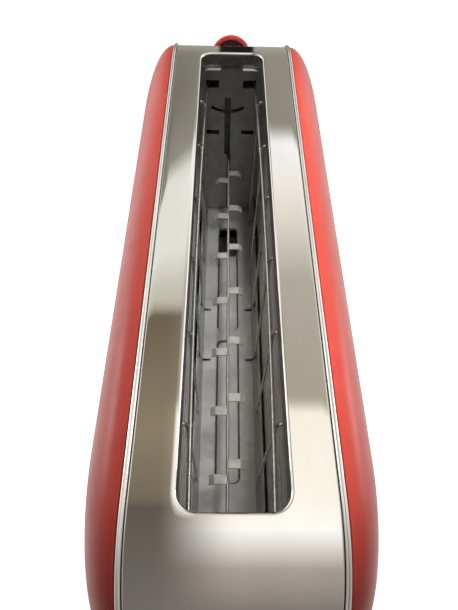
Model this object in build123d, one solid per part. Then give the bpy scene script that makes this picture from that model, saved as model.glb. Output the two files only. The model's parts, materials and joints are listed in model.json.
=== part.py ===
from build123d import *
import math
import os

# Long-slot toaster in millimetres: +X right, +Y towards the lever end, +Z up.
# The body is drawn about its own middle and moved at the end, so that the
# origin lies under the middle of the whole object, knob and tray handle included.

# Body seen from the side: a loaf outline with a flat top and two round shoulders
slot_length = 258.0
slot_width = 37.0
shoulder_overlap = 3.3
shoulder_r = 43.2
top_z = 190.0
foot_height = 5.0
pan_height = 9.0
flat_half_length = slot_length / 2 - shoulder_overlap
half_length = flat_half_length + shoulder_r
base_z = foot_height + pan_height

# General clearances
cut_over = 5.0
rest_gap = 0.3
running_gap = 0.05
screw_gap = 0.1

# Polished top plate with one long slot
plate_half_width = 34.3
plate_t = 0.8
plate_edge_r = 1.0
plate_flange = 4.0
plate_end_drop = 25.0
slot_corner_r = 6.5
slot_rim_w = 2.0
slot_rim_r = 1.2
slot_flange = 9.5

# Trim strips between the plate and the side panels
groove_w = 0.6
trim_w = 1.4
trim_rise = 1.2
trim_depth = 6.0
trim_x = plate_half_width + groove_w

# Bulging side panels
panel_gap = 0.4
panel_x = trim_x + trim_w + panel_gap
bulge = 22.0
bulge_top_inset = 60.0
bulge_end_inset = 52.0
bulge_foot_inset = 6.0
panel_wall = 2.6
bulge_step_shares = (0.0, 0.2, 0.4, 0.6, 0.75, 0.9, 1.0)
boss_r = 4.5
boss_y = 95.0
boss_rise = 48.0
boss_fall = 62.0

# Heat shields behind the panels, standing on the pan's ribs
shield_t = 0.8
shield_gap = 1.0
shield_inset = plate_flange + shield_gap
shield_foot = 3.4
shield_foot_over = 13.0
base_screw_y = 105.0
shield_x = trim_x - shield_t

# Chamber end walls
wall_t = 1.0
wall_gap = 5.2
chamber_half = slot_length / 2 + slot_rim_w + wall_gap
wall_out = chamber_half + wall_t
wall_gate_side = 1.2
wall_gate_rise = 17.0
arc_slit_width = 22.7
arc_slit_sag = 3.5
arc_slit_t = 2.4
arc_slit_depth = 45.5
tab_slot_in = 8.0
tab_slot_w = 9.2
tab_slot_t = 4.0
tab_slot_depth = 61.0
ledge_in = 7.0
ledge_w = 10.5
ledge_reach = 8.8
ledge_t = 0.8

# Chamber floor with two long recesses and slits for the guide wires
floor_rise = 34.0
floor_t = 0.8
floor_inset = 1.0
wing_reach = 3.8
wing_rise = 12.0
recess_w = 15.8
recess_r = 4.0
recess_depth = 2.0
recess_far_gap = 23.4
recess_near_gap = 41.1
recess_between = 8.4
crumb_hole_length = 29.2
floor_z = base_z + floor_rise
floor_half_width = slot_width / 2 - floor_inset
recess_far_y = chamber_half - recess_far_gap
recess_length = (2 * chamber_half - recess_far_gap - recess_near_gap - recess_between) / 2
recess_pitch = recess_length + recess_between

# Mica boards with flat heating ribbon
board_side = 5.5
board_t = 1.0
board_rise = 4.0
board_top_drop = 18.0
ribbon_t = 0.3
ribbon_w = 2.2
ribbon_runs = 9
ribbon_end_gap = 10.0
ribbon_edge_gap = 9.0
board_x = slot_width / 2 + board_side

# Bread guide cages: one rail and a row of upright wires on each side
rail_inset = 3.0
rail_r = 0.9
rail_depth = 25.0
rail_over = 5.0
rail_bow = 2.2
cage_travel = 3.0
rail_hole_w = 8.7
rail_hole_h = 5.5
wire_r = 0.8
wire_count = 6
wire_far_gap = 22.4
wire_near_gap = 42.1
wire_weld = 0.3
wire_bend_r = 2.5
wire_foot = 5.0
arm_end_gap = 0.8
rail_x = slot_width / 2 - rail_inset
wire_x = rail_x + rail_r + wire_r - wire_weld
slit_in = wire_x - cage_travel - wire_r - rest_gap
slit_out = wire_x + rail_bow + wire_r + rest_gap
rail_z = top_z - rail_depth
wire_far_y = chamber_half - wire_far_gap
wire_pitch = (wire_far_y + chamber_half - wire_near_gap) / (wire_count - 1)

# Bread carriage: a bar on edge with staggered tabs
bar_rise = 54.0
bar_x = -0.7
bar_t = 1.3
bar_h = 7.0
lever_travel = 45.0
tab_count = 7
tab_far_gap = 15.1
tab_near_gap = 41.3
tab_stagger = 7.7
tab_w = 5.0
tab_length = 9.2
tab_t = 1.0
tab_tip = 3.0
bar_slot_w = 4.4
bar_slot_off = 1.3
bar_slot_over = 4.0
bar_slot_side = 0.6
far_slot_depth = 35.0
bar_near_over = 3.5
bar_top = floor_z + bar_rise
bar_slot_x = bar_x - bar_slot_off
tab_far_y = chamber_half - tab_far_gap
tab_pitch = (tab_far_y + chamber_half - tab_near_gap) / (tab_count - 1)

# Lever: arm, black knob core and red ring
end_panel_t = 2.5
end_panel_seam = 0.4
lever_head = 5.8
lever_arm_w = 6.0
lever_arm_h = 8.0
lever_slot_gap = 0.8
knob_gap = 3.5
knob_depth = 14.0
knob_w = 27.0
knob_below = 8.0
knob_above = 23.0
knob_ring_t = 3.2
knob_corner_r = 3.0
knob_front_r = 7.5
knob_edge_r = 1.5
knob_pocket = 9.0
lever_z = top_z - plate_end_drop - end_panel_seam - lever_head - lever_slot_gap - lever_arm_h / 2
knob_down_z = lever_z - lever_travel - knob_below

# Slider, guide rod and lift spring behind the far end wall
slider_gap = 4.5
slider_t = 1.5
slider_half_width = 15.0
slider_below = 10.0
slider_head = 6.0
slider_y = wall_out + slider_gap
slider_low = bar_top - slider_below
slider_high = lever_z + slider_head
rod_r = 2.5
rod_x = -10.0
rod_stand = 5.5
rod_y = slider_y + slider_t + rod_stand
sleeve_r = 4.5
sleeve_length = 10.0
sleeve_web = 4.0
bracket_gap = 12.0
bracket_t = 1.5
bracket_half_width = 16.0
bracket_reach = 17.5
bracket_skirt = 10.0
spring_x = 10.0
spring_r = 3.2
spring_wire_r = 0.5
spring_turns = 18
spring_step_shares = (0.0, 0.25, 0.5, 0.75)
spring_shelf_rise = 26.0
spring_shelf_t = 1.5
spring_shelf_half_width = 4.0
bracket_z = slider_high + bracket_gap
shelf_z = slider_low + spring_shelf_rise

# End panels
panel_out_y = half_length
panel_in_y = half_length - end_panel_t
tray_notch_gap = 0.6

# Control board behind the control end panel, with dial and buttons
pcb_t = 1.6
pcb_side = 4.0
pcb_below = 12.0
pcb_above = 16.0
pcb_boss_r = 3.0
pcb_boss_inset = 5.0
dial_height_share = 0.69
dial_r = 15.0
dial_depth = 10.5
dial_gap = 0.4
dial_stem_r = 3.0
dial_flutes = 20
dial_flute_r = 1.1
dial_mark_w = 1.8
dial_mark_t = 0.8
pot_r = 8.0
pot_depth = 6.0
pot_bore_depth = 5.0
button_height_share = 0.276
button_pitch = 18.0
button_w = 13.0
button_h = 7.0
button_proud = 2.5
button_flange_w = 1.2
button_flange_t = 1.5
button_stem_r = 2.0
button_stem = 0.4
button_travel = 1.5
button_gap = 0.3
button_edge_r = 0.8
switch_size = 6.0
switch_h = 3.4
switch_tip_r = 1.5
switch_tip_h = 0.6
pcb_half_width = plate_half_width - pcb_side
button_back_y = panel_in_y - rest_gap - button_flange_t - button_stem
pcb_y = button_back_y - button_travel - rest_gap - switch_tip_h - switch_h - pcb_t
dial_z = base_z + dial_height_share * (knob_down_z - base_z)
button_z = base_z + button_height_share * (knob_down_z - base_z)
pcb_low = button_z - pcb_below
pcb_high = dial_z + pcb_above

# Main board, holding magnet and contacts
main_rise = 4.0
main_side = 1.0
main_near_gap = 0.8
main_far_gap = 0.5
post_r = 3.0
post_inset = 4.0
core_x = 6.0
core_length = 18.0
core_depth = 9.0
core_base_h = 4.0
core_leg = 6.0
core_gap = 0.3
coil_length = 14.0
coil_low_gap = 0.2
coil_top_gap = 3.7
armature_t = 2.0
armature_gap = 2.6
contact_x = -24.0
contact_w = 12.0
contact_gap = 3.0
contact_depth = 12.0
contact_h = 20.4
leaf_t = 0.5
leaf_w = 4.0
leaf_h = 6.5
leaf_spread = 6.0
finger_w = 8.0
finger_h = 3.0
main_low = base_z + main_rise
main_top = main_low + pcb_t
contact_near = wall_out + contact_gap

# Base pan with ribs, posts and vents
pan_side = 9.8
pan_setback = 1.0
pan_corner_r = 25.0
pan_floor = 3.0
pan_wall = 4.0
pan_edge = 2.0
rib_inner = 2.2
rib_outer = 1.0
vent_count = 9
vent_pitch = 22.0
vent_length = 40.0
vent_w = 4.0
tray_gate_side = 1.5
tray_gate_rise = 7.5
foot_side = 11.0
foot_end = 28.0
foot_r = 8.0
foot_peg_r = 3.0
foot_edge_r = 1.0
pan_half_width = panel_x + pan_side
pan_half_length = half_length - pan_setback
rib_in = shield_x - rib_inner
rib_out = trim_x + rib_outer
main_half_width = rib_in - main_side

# Crumb tray
tray_side = 2.0
tray_far_gap = 6.0
tray_t = 0.8
tray_lip = 6.8
tray_handle_t = 3.5
tray_handle_h = 15.5
tray_handle_side = 0.8
tray_grip_half_width = 16.0
tray_grip_reach = 5.0
tray_grip_t = 3.0
tray_grip_r = 1.2
tray_half_width = rib_in - tray_side
tray_far_y = chamber_half - tray_far_gap
tray_handle_half_width = tray_half_width + tray_handle_side
tray_gate_half_width = tray_half_width + tray_gate_side

# Cord gland, terminal block and leads
gland_x = -22.0
gland_rise = 36.0
gland_r = 6.0
gland_flange_r = 8.5
gland_flange_t = 2.5
gland_inner_t = 3.0
gland_bore_r = 3.6
terminal_w = 16.0
terminal_depth = 12.0
terminal_rise = 26.0
terminal_h = 18.0
lead_r = 1.3
lead_spread = 6.0
lead_rise = 13.0
lead_bend_r = 9.0
gland_z = base_z + gland_rise
terminal_low = base_z + terminal_rise
lead_z = base_z + lead_rise

# Screws
screw_r = 1.4
screw_head_r = 2.8
screw_head_h = 1.8
panel_screw_length = 13.0
board_screw_length = 7.0
base_screw_length = 12.0


def block(x, y, z):
    """A box between two values on each axis."""
    spans = (x, y, z)
    size = [high - low for low, high in spans]
    centre = [(high + low) / 2 for low, high in spans]
    return Pos(*centre) * Box(*size)


def bar(radius, start, end):
    """A round bar from one point to another."""
    path = Vector(*end) - Vector(*start)
    return extrude(Plane(origin=start, z_dir=path) * Circle(radius), amount=path.length)


def mirrored(solid):
    """The same piece on the other side of the middle plane."""
    return mirror(solid, about=Plane.YZ)


def loaf(side_inset, top_inset, foot_inset, corner_r):
    """Side outline of the body, drawn in from its ends, top and foot."""
    low = base_z + foot_inset
    outline = Rectangle(2 * (half_length - side_inset), top_z - top_inset - low,
                        align=(Align.CENTER, Align.MIN))
    outline = Pos(0, low) * outline
    return fillet(outline.vertices().group_by(Axis.Y)[-1], corner_r)


def loaf_slab(inset, x_low, x_high, foot_inset=0):
    """The loaf outline, inset alike at its top and ends, carried from one X to another."""
    outline = loaf(inset, inset, foot_inset, shoulder_r - inset)
    return extrude(Plane.YZ.offset(x_low) * outline, amount=x_high - x_low)


def under_shoulder(y, inset):
    """Height of the loaf outline, inset by so much, at a distance y from the middle."""
    past_flat = max(0, y - flat_half_length)
    radius = shoulder_r - inset
    return top_z - shoulder_r + math.sqrt(radius ** 2 - past_flat ** 2)


def rounded_slab(width, length, radius, z_low, z_high, y=0):
    """A flat block with round corners in plan."""
    outline = Pos(0, y, z_low) * RectangleRounded(width, length, radius)
    return extrude(outline, amount=z_high - z_low)


def make_top_plate():
    """Sheet over the top and shoulders, edges rolled down, one slot with a rolled rim."""
    def rolled_body(inset, half_width, edge_r):
        body = loaf_slab(inset, -half_width, half_width)
        edges = [edge for face in body.faces().filter_by(Axis.X) for edge in face.edges()
                 if edge.center().Z > base_z + cut_over]
        return fillet(edges, edge_r)

    skin = rolled_body(0, plate_half_width, plate_edge_r)
    skin -= rolled_body(plate_t, plate_half_width - plate_t, plate_edge_r - plate_t)
    skin -= loaf_slab(plate_flange, -plate_half_width, plate_half_width)
    skin -= block((-panel_x, panel_x), (-half_length - cut_over, half_length + cut_over),
                  (0, top_z - plate_end_drop))
    ring_width = slot_width + 2 * slot_rim_w
    ring_length = slot_length + 2 * slot_rim_w
    ring_r = slot_corner_r + slot_rim_w
    ring = rounded_slab(ring_width, ring_length, ring_r, top_z - slot_flange, top_z)
    ring -= rounded_slab(slot_width, slot_length, slot_corner_r,
                         top_z - slot_flange - cut_over, top_z + cut_over)
    rim_edges = ring.faces().sort_by(Axis.Z)[-1].inner_wires()[0].edges()
    ring = fillet(rim_edges, slot_rim_r)
    skin -= rounded_slab(ring_width, ring_length, ring_r, top_z - slot_flange, top_z + cut_over)
    return skin + ring


def make_trim_strip():
    """Thin band round the loaf outline, standing proud of the plate."""
    band = loaf_slab(-trim_rise, trim_x, trim_x + trim_w)
    return band - loaf_slab(trim_depth, trim_x - cut_over, trim_x + trim_w + cut_over, -cut_over)


def bulging_body(rim_inset, reach):
    """Loaf outlines drawn in along a quarter ellipse as the panel stands out from its rim."""
    sections = []
    for share in bulge_step_shares:
        turn = share * math.pi / 2
        fall = 1 - math.cos(turn)
        outline = loaf(rim_inset + bulge_end_inset * fall, rim_inset + bulge_top_inset * fall,
                       rim_inset + bulge_foot_inset * fall, shoulder_r - rim_inset)
        sections.append(Plane.YZ.offset(panel_x + reach * math.sin(turn)) * outline)
    return loft(sections)


def boss_places():
    """Screw places on the side panels, as Y and Z."""
    heights = (base_z + boss_rise, top_z - boss_fall)
    return [(side * boss_y, z) for side in (-1, 1) for z in heights]


def make_side_panel():
    """Bulging shell with four screw bosses that reach the heat shield."""
    panel = bulging_body(0, bulge)
    panel -= bulging_body(panel_wall, bulge - panel_wall)
    inner_x = panel_x + bulge - panel_wall / 2
    for y, z in boss_places():
        panel += bar(boss_r, (trim_x, y, z), (inner_x, y, z))
    for y, z in boss_places():
        panel -= bar(screw_r + screw_gap, (trim_x - cut_over, y, z),
                     (trim_x + panel_screw_length + cut_over, y, z))
    return panel


def make_heat_shield():
    """Upright sheet inside the trim, with a turned-in foot on the pan's rib."""
    shield = loaf_slab(shield_inset, shield_x, trim_x)
    foot_reach = base_screw_y + shield_foot_over
    shield += block((shield_x - shield_foot + shield_t, shield_x),
                    (-foot_reach, foot_reach), (base_z, base_z + shield_t))
    for y, z in boss_places():
        shield -= bar(screw_r + screw_gap, (shield_x - cut_over, y, z), (trim_x + cut_over, y, z))
    for y in (-base_screw_y, base_screw_y):
        shield -= bar(screw_r + screw_gap, (base_screw_x(), y, 0), (base_screw_x(), y, base_z + cut_over))
    return shield


def base_screw_x():
    """Middle of the shield's turned-in foot."""
    return shield_x - (shield_foot - shield_t) / 2


def make_end_wall():
    """Chamber end wall at +Y with rail holes, a carriage slot and stamped slits."""
    wall = block((-shield_x, shield_x), (chamber_half, wall_out), (base_z, under_shoulder(wall_out, plate_t)))
    through = (chamber_half - cut_over, wall_out + cut_over)
    gate_x = tray_half_width + wall_gate_side
    corner_x = plate_half_width - plate_edge_r - rest_gap
    corner_z = under_shoulder(wall_out, plate_flange) - rest_gap
    for corner in ((-trim_x, -corner_x), (corner_x, trim_x)):
        wall -= block(corner, through, (corner_z, top_z))
    wall -= block((-gate_x, gate_x), through, (0, base_z + wall_gate_rise))
    slot_low = bar_top - bar_h - lever_travel - bar_slot_over
    half_slot = bar_t / 2 + bar_slot_side
    wall -= block((bar_x - half_slot, bar_x + half_slot), through, (slot_low, bar_top + bar_slot_over))
    hole_out = rail_x + rail_r + rest_gap
    for side in (-1, 1):
        hole = sorted((side * hole_out, side * (hole_out - rail_hole_w)))
        wall -= block(hole, through, (rail_z - rail_hole_h / 2, rail_z + rail_hole_h / 2))
        tab = sorted((side * tab_slot_in, side * (tab_slot_in + tab_slot_w)))
        tab_z = top_z - tab_slot_depth
        wall -= block(tab, through, (tab_z - tab_slot_t, tab_z))
    return wall


def make_far_end_wall():
    """End wall on the lever side: its carriage slot widens above, an arc slit crosses it, and two ledges stand out
    under the end of the plate's slot."""
    wall = make_end_wall()
    through = (chamber_half - cut_over, wall_out + cut_over)
    wide_slot = (bar_slot_x - bar_slot_w / 2, bar_slot_x + bar_slot_w / 2)
    wall -= block(wide_slot, through, (bar_top + bar_slot_over, top_z - far_slot_depth))
    ledge_z = top_z - slot_flange - rest_gap
    for side in (-1, 1):
        ledge = sorted((side * ledge_in, side * (ledge_in + ledge_w)))
        wall += block(ledge, (chamber_half - ledge_reach, chamber_half), (ledge_z - ledge_t, ledge_z))
    arc_r = (arc_slit_width ** 2 / 4 + arc_slit_sag ** 2) / (2 * arc_slit_sag)
    arc_z = top_z - arc_slit_depth
    half_turn = math.degrees(math.asin(arc_slit_width / 2 / arc_r))
    arc = CenterArc((0, arc_r), arc_r, -90 - half_turn, 2 * half_turn)
    slit = trace(arc, arc_slit_t)
    plane = Plane(origin=(bar_slot_x, wall_out + cut_over, arc_z), x_dir=(1, 0, 0), z_dir=(0, -1, 0))
    return wall - extrude(plane * slit, amount=wall_t + 2 * cut_over)


def wire_places():
    """Y of each upright guide wire."""
    return [wire_far_y - wire_pitch * number for number in range(wire_count)]


def make_chamber_floor():
    """Sheet with sloping wings, two sunk recesses, one crumb hole and wire slits."""
    low = floor_z - floor_t
    tip_x = floor_half_width + wing_reach
    tip_z = floor_z + wing_rise
    side = [(floor_half_width, floor_z), (tip_x, tip_z), (tip_x, tip_z - floor_t), (floor_half_width, low)]
    section = Polyline(*side, *[(-x, z) for x, z in reversed(side)], close=True)
    plane = Plane(origin=(0, chamber_half, 0), x_dir=(1, 0, 0), z_dir=(0, -1, 0))
    sheet = extrude(plane * make_face(section), amount=2 * chamber_half)
    recess_mid = recess_far_y - recess_length / 2
    wall_w = recess_w + 2 * floor_t
    wall_length = recess_length + 2 * floor_t
    for mid in (recess_mid, recess_mid - recess_pitch):
        sheet += rounded_slab(wall_w, wall_length, recess_r + floor_t, low - recess_depth, floor_z, mid)
        sheet -= rounded_slab(recess_w, recess_length, recess_r, floor_z - recess_depth, floor_z + cut_over, mid)
    hole_mid = recess_far_y - crumb_hole_length / 2
    sheet -= rounded_slab(recess_w, crumb_hole_length, recess_r, 0, floor_z, hole_mid)
    half_slit = wire_r + rest_gap
    for y in wire_places():
        for slit in ((-slit_out, -slit_in), (slit_in, slit_out)):
            sheet -= block(slit, (y - half_slit, y + half_slit), (0, floor_z + wing_rise))
    return sheet


def make_mica_board():
    """Flat board that carries the heating ribbon, between the end walls."""
    return block((board_x, board_x + board_t), (-chamber_half, chamber_half),
                 (floor_z + board_rise, top_z - board_top_drop))


def make_heating_ribbon():
    """Flat ribbon that runs to and fro along the mica board."""
    low = floor_z + board_rise + ribbon_edge_gap
    high = top_z - board_top_drop - ribbon_edge_gap
    pitch = (high - low) / (ribbon_runs - 1)
    end_y = chamber_half - ribbon_end_gap
    depth = (board_x - ribbon_t, board_x)
    ribbon = Part()
    for run in range(ribbon_runs):
        z = low + run * pitch
        ribbon += block(depth, (-end_y, end_y), (z - ribbon_w / 2, z + ribbon_w / 2))
        if run < ribbon_runs - 1:
            end = end_y if run % 2 else -end_y
            link = sorted((end, end - math.copysign(ribbon_w, end)))
            ribbon += block(depth, link, (z, z + pitch))
    return ribbon


def make_guide_cage():
    """Rail through both end walls, bowed outwards, with upright wires whose tops bend outwards."""
    reach = wall_out + rail_over
    line = ThreePointArc((rail_x, -reach, rail_z), (rail_x + rail_bow, 0, rail_z), (rail_x, reach, rail_z))
    cage = sweep(Plane(origin=line @ 0, z_dir=line % 0) * Circle(rail_r), path=line)
    arm_x = board_x - arm_end_gap
    arm_z = rail_z + wire_bend_r
    for y in wire_places():
        x = wire_x + rail_bow * (1 - (y / reach) ** 2)
        foot = (x, y, floor_z - wire_foot)
        path = FilletPolyline(foot, (x, y, arm_z), (arm_x, y, arm_z), radius=wire_bend_r)
        cage += sweep(Plane(origin=foot, z_dir=(0, 0, 1)) * Circle(wire_r), path=path)
    return cage


def make_bread_carriage():
    """Thin bar on edge through both end walls, with tabs bent out to both sides in turn."""
    half_t = bar_t / 2
    near = -wall_out - bar_near_over
    carriage = block((bar_x - half_t, bar_x + half_t), (near, slider_y), (bar_top - bar_h, bar_top))
    for number in range(tab_count):
        for side, y in ((1, tab_far_y), (-1, tab_far_y - tab_stagger)):
            y = y - number * tab_pitch
            width = (y - tab_w / 2, y + tab_w / 2)
            tip = bar_x + side * (half_t + tab_length)
            carriage += block(sorted((bar_x, tip)), width, (bar_top - tab_t, bar_top))
            carriage += block(sorted((tip, tip - side * tab_t)), width, (bar_top - tab_tip, bar_top))
    return carriage


def make_carriage_slider():
    """Upright plate with two sleeves on the guide rod, a spring shelf and a contact finger."""
    face_y = slider_y + slider_t
    slider = block((-slider_half_width, slider_half_width), (slider_y, face_y), (slider_low, slider_high))
    slider += block((-slider_half_width - finger_w, -slider_half_width), (slider_y, face_y),
                    (slider_low, slider_low + finger_h))
    shelf = (spring_x - spring_shelf_half_width, spring_x + spring_shelf_half_width)
    shelf_end = rod_y + spring_r + spring_wire_r + rest_gap
    slider += block(shelf, (face_y, shelf_end), (shelf_z - spring_shelf_t, shelf_z))
    for low in (slider_low, slider_high - sleeve_length):
        high = low + sleeve_length
        slider += bar(sleeve_r, (rod_x, rod_y, low), (rod_x, rod_y, high))
        slider += block((rod_x - sleeve_web / 2, rod_x + sleeve_web / 2), (face_y, rod_y), (low, high))
    return slider - bar(rod_r + running_gap, (rod_x, rod_y, 0), (rod_x, rod_y, top_z))


def make_guide_rod():
    """Upright rod from the pan's floor to the bracket."""
    return bar(rod_r, (rod_x, rod_y, foot_height + pan_floor), (rod_x, rod_y, bracket_z + bracket_t))


def make_guide_bracket():
    """Angle on the far end wall that holds the rod and the spring at their tops."""
    width = (-bracket_half_width, bracket_half_width)
    bracket = block(width, (wall_out, wall_out + bracket_reach), (bracket_z, bracket_z + bracket_t))
    bracket += block(width, (wall_out, wall_out + bracket_t), (bracket_z, bracket_z + bracket_skirt))
    return bracket - bar(rod_r + running_gap, (rod_x, rod_y, 0), (rod_x, rod_y, top_z))


def spring_point(turn, pitch):
    """Point on the spring's helix after so many turns, in its own frame."""
    angle = 2 * math.pi * turn
    return Vector(spring_r * math.cos(angle), spring_r * math.sin(angle), pitch * turn)


def make_lift_spring():
    """One unbroken wire, wound in quarter-turn arcs, with a straight stretch at each end."""
    low = shelf_z + spring_wire_r + rest_gap
    high = bracket_z - spring_wire_r - rest_gap
    pitch = (high - low) / spring_turns
    quarter = spring_step_shares[1]
    edges = []
    for turn in range(spring_turns):
        for share in spring_step_shares:
            start = turn + share
            middle = spring_point(start + quarter / 2, pitch)
            edges.append(ThreePointArc(spring_point(start, pitch), middle, spring_point(start + quarter, pitch)))
    tail = 2 * spring_wire_r
    first = edges[0] @ 0
    last = edges[-1] @ 1
    edges.insert(0, Line(first - (edges[0] % 0) * tail, first))
    edges.append(Line(last, last + (edges[-1] % 1) * tail))
    path = Wire(edges)
    wire = sweep(Plane(origin=path @ 0, z_dir=path % 0) * Circle(spring_wire_r), path=path)
    print("lift spring: least gap between turns %.2f mm" % (pitch - 2 * spring_wire_r))
    print("lift spring: volume over section times length %.4f"
          % (wire.volume / (math.pi * spring_wire_r ** 2 * path.length)))
    return Pos(spring_x, rod_y, low) * wire


def knob_outline(inset):
    """Round-topped knob outline, drawn in from its sides and top."""
    radius = knob_w / 2 - inset
    low = lever_z - knob_below
    spring_line = lever_z + knob_above - knob_w / 2
    outline = Pos(0, low) * Rectangle(2 * radius, spring_line - low, align=(Align.CENTER, Align.MIN))
    outline = fillet(outline.vertices().group_by(Axis.Y)[0], knob_corner_r)
    return outline + Pos(0, spring_line) * Circle(radius)


def knob_slab(inset, y_low, y_high):
    """The knob outline carried from one Y to another."""
    plane = Plane(origin=(0, y_high, 0), x_dir=(1, 0, 0), z_dir=(0, -1, 0))
    return extrude(plane * knob_outline(inset), amount=y_high - y_low)


def lever_arm_spans(gap):
    """Width and height of the lever arm, with a gap all round."""
    half_w = lever_arm_w / 2 + gap
    half_h = lever_arm_h / 2 + gap
    return (-half_w, half_w), (lever_z - half_h, lever_z + half_h)


def make_lever_arm():
    """Flat arm from the slider, through the control panel, into the knob."""
    width, height = lever_arm_spans(0)
    return block(width, (slider_y + slider_t, panel_out_y + knob_gap + knob_pocket), height)


def make_lever_knob():
    """Black knob core, domed at its front, with a pocket for the arm."""
    near = panel_out_y + knob_gap
    core = knob_slab(knob_ring_t + running_gap, near, near + knob_depth)
    core = fillet(core.faces().sort_by(Axis.Y)[-1].edges(), knob_front_r)
    width, height = lever_arm_spans(running_gap)
    return core - block(width, (0, near + knob_pocket), height)


def make_lever_ring():
    """Red arch round the knob core: a round bead up one side, over the top and down the other."""
    bead_r = knob_ring_t / 2
    radius = knob_w / 2 - bead_r
    low = lever_z - knob_below + knob_corner_r
    spring_line = lever_z + knob_above - knob_w / 2
    legs = [Line((side * radius, low), (side * radius, spring_line)) for side in (-1, 1)]
    arch = CenterArc((0, spring_line), radius, 0, 180)
    plane = Plane(origin=(0, panel_out_y + knob_gap + bead_r, 0), x_dir=(1, 0, 0), z_dir=(0, -1, 0))
    path = plane * Wire([legs[0], arch, legs[1]])
    return sweep(Plane(origin=path @ 0, z_dir=path % 0) * Circle(bead_r), path=path)


def make_end_panel():
    """Moulded end panel at +Y that follows the shoulder up to the plate's end."""
    panel = loaf_slab(0, -plate_half_width, plate_half_width)
    panel -= loaf_slab(end_panel_t, -trim_x, trim_x, -cut_over)
    panel &= block((-trim_x, trim_x), (0, half_length + cut_over), (0, top_z - plate_end_drop - end_panel_seam))
    return panel


def pcb_screw_places():
    """Screw places on the control board, as X and Z."""
    x = pcb_half_width - pcb_boss_inset
    heights = (pcb_low + pcb_boss_inset, pcb_high - pcb_boss_inset)
    return [(side * x, z) for side in (-1, 1) for z in heights]


def button_places():
    """X of the three buttons."""
    return (-button_pitch, 0, button_pitch)


def button_slab(x, grow, y_low, y_high):
    """A button's oblong outline, grown all round, carried from one Y to another."""
    plane = Plane(origin=(x, y_high, button_z), x_dir=(1, 0, 0), z_dir=(0, -1, 0))
    outline = SlotOverall(button_w + 2 * grow, button_h + 2 * grow)
    return extrude(plane * outline, amount=y_high - y_low)


def make_control_end_panel():
    """End panel with the lever slot, dial hole, button holes and control board bosses."""
    panel = make_end_panel()
    through = (panel_in_y - cut_over, panel_out_y + cut_over)
    width, height = lever_arm_spans(lever_slot_gap)
    panel -= block(width, through, (height[0] - lever_travel, height[1]))
    panel -= bar(dial_stem_r + running_gap, (0, through[0], dial_z), (0, through[1], dial_z))
    for x in button_places():
        panel -= button_slab(x, button_gap, *through)
    front = pcb_y + pcb_t
    for x, z in pcb_screw_places():
        panel += bar(pcb_boss_r, (x, front, z), (x, panel_in_y, z))
    for x, z in pcb_screw_places():
        panel -= bar(screw_r + screw_gap, (x, front - cut_over, z), (x, panel_in_y, z))
    return panel


def make_rear_end_panel():
    """End panel at -Y with a notch for the tray handle and a hole for the cord gland."""
    panel = mirror(make_end_panel(), about=Plane.XZ)
    through = (-panel_out_y - cut_over, -panel_in_y + cut_over)
    notch_x = tray_handle_half_width + tray_notch_gap
    panel -= block((-notch_x, notch_x), through, (0, tray_low() + tray_handle_h + tray_notch_gap))
    return panel - bar(gland_r + running_gap, (gland_x, through[0], gland_z), (gland_x, through[1], gland_z))


def make_control_board():
    """Upright circuit board on the control panel's bosses."""
    board = block((-pcb_half_width, pcb_half_width), (pcb_y, pcb_y + pcb_t), (pcb_low, pcb_high))
    for x, z in pcb_screw_places():
        board -= bar(screw_r + screw_gap, (x, pcb_y - cut_over, z), (x, panel_in_y, z))
    return board


def make_potentiometer():
    """Round potentiometer on the control board, bored for the dial's stem."""
    front = pcb_y + pcb_t
    body = bar(pot_r, (0, front, dial_z), (0, front + pot_depth, dial_z))
    mouth = front + pot_depth
    return body - bar(dial_stem_r + running_gap, (0, mouth - pot_bore_depth, dial_z), (0, mouth + cut_over, dial_z))


def make_browning_dial():
    """Fluted dial with a raised mark and a stem through the panel into the potentiometer."""
    near = panel_out_y + dial_gap
    far = near + dial_depth
    dial = bar(dial_r, (0, near, dial_z), (0, far, dial_z))
    dial = fillet(dial.faces().sort_by(Axis.Y)[-1].edges(), knob_edge_r)
    for number in range(dial_flutes):
        angle = 2 * math.pi * (number + 1 / 2) / dial_flutes
        x = dial_r * math.sin(angle)
        z = dial_z + dial_r * math.cos(angle)
        dial -= bar(dial_flute_r, (x, near - cut_over, z), (x, far + cut_over, z))
    mark_low = dial_z + dial_r / 3
    mark_high = dial_z + dial_r - knob_edge_r - dial_mark_w / 2
    dial += block((-dial_mark_w / 2, dial_mark_w / 2), (near, far + dial_mark_t), (mark_low, mark_high))
    stem_end = pcb_y + pcb_t + pot_depth - pot_bore_depth + rest_gap
    return dial + bar(dial_stem_r, (0, stem_end, dial_z), (0, near, dial_z))


def make_button(x):
    """Button cap with a flange behind the panel and a stem that meets its switch."""
    flange_y = panel_in_y - rest_gap
    front = panel_out_y + button_proud
    button = button_slab(x, 0, flange_y, front)
    button = fillet(button.faces().sort_by(Axis.Y)[-1].edges(), button_edge_r)
    button += button_slab(x, button_flange_w, flange_y - button_flange_t, flange_y)
    return button + bar(button_stem_r, (x, button_back_y, button_z), (x, flange_y, button_z))


def make_button_switches():
    """Three small push switches on the control board."""
    front = pcb_y + pcb_t
    half = switch_size / 2
    switches = []
    for x in button_places():
        body = block((x - half, x + half), (front, front + switch_h), (button_z - half, button_z + half))
        tip = bar(switch_tip_r, (x, front, button_z), (x, front + switch_h + switch_tip_h, button_z))
        switches.append(body + tip)
    return Compound(switches)


def main_board_spans():
    """Length of the main board between the far end wall and the control board's screws."""
    return wall_out + main_near_gap, pcb_y - screw_head_h - main_far_gap


def post_places():
    """Post places under the main board, as X and Y."""
    near, far = main_board_spans()
    x = main_half_width - post_inset
    return [(side * x, y) for side in (-1, 1) for y in (near + post_inset, far - post_inset)]


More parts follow.
